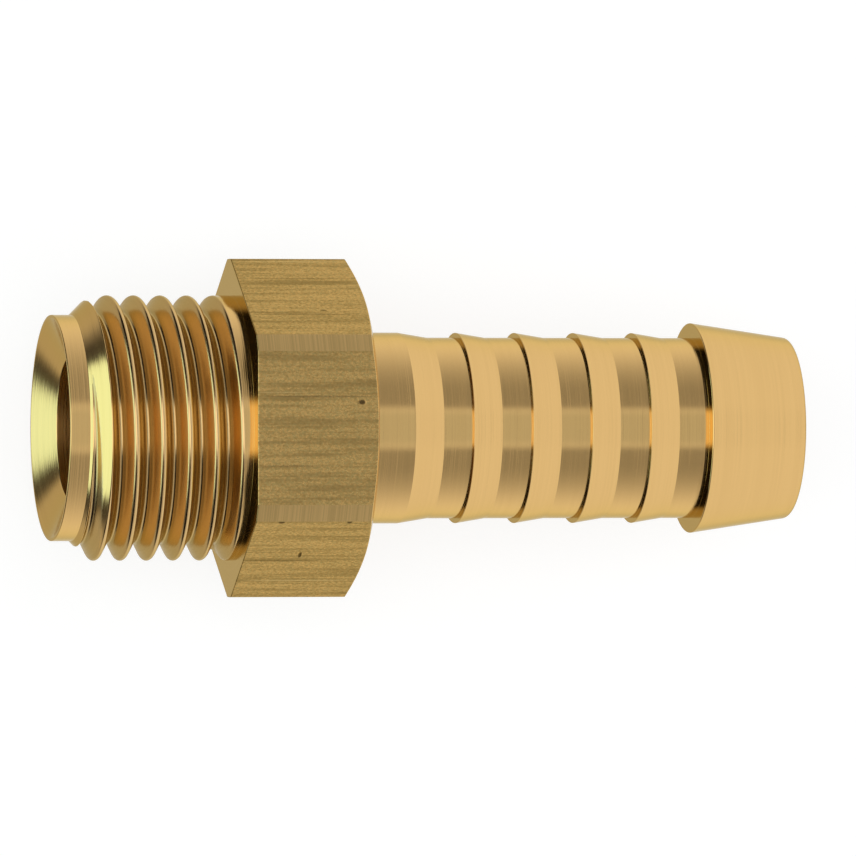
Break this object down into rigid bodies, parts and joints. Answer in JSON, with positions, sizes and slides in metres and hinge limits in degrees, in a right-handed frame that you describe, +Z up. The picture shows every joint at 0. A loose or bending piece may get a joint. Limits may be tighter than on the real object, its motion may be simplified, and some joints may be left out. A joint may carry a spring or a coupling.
{
  "type": "hose barb tail",
  "caption": "Brass hose tail with an external parallel pipe thread, a hexagon and a barbed spigot, bored right through.",
  "frame": {"origin": "on the fitting's axis, at the hexagon's seat face that meets the threaded stud", "axes": "+X along the axis from the threaded stud towards the hose spigot, +Z up and square to one flat of the hexagon, +Y towards a corner of the hexagon; the tail lies on its lower flat"},
  "size_m": [0.0374, 0.0168, 0.015],
  "materials": {
    "brass": "turned and drawn, bare"
  },
  "bodies": {
    "root": {"hose_tail": "brass"}
  },
  "joints": []
}
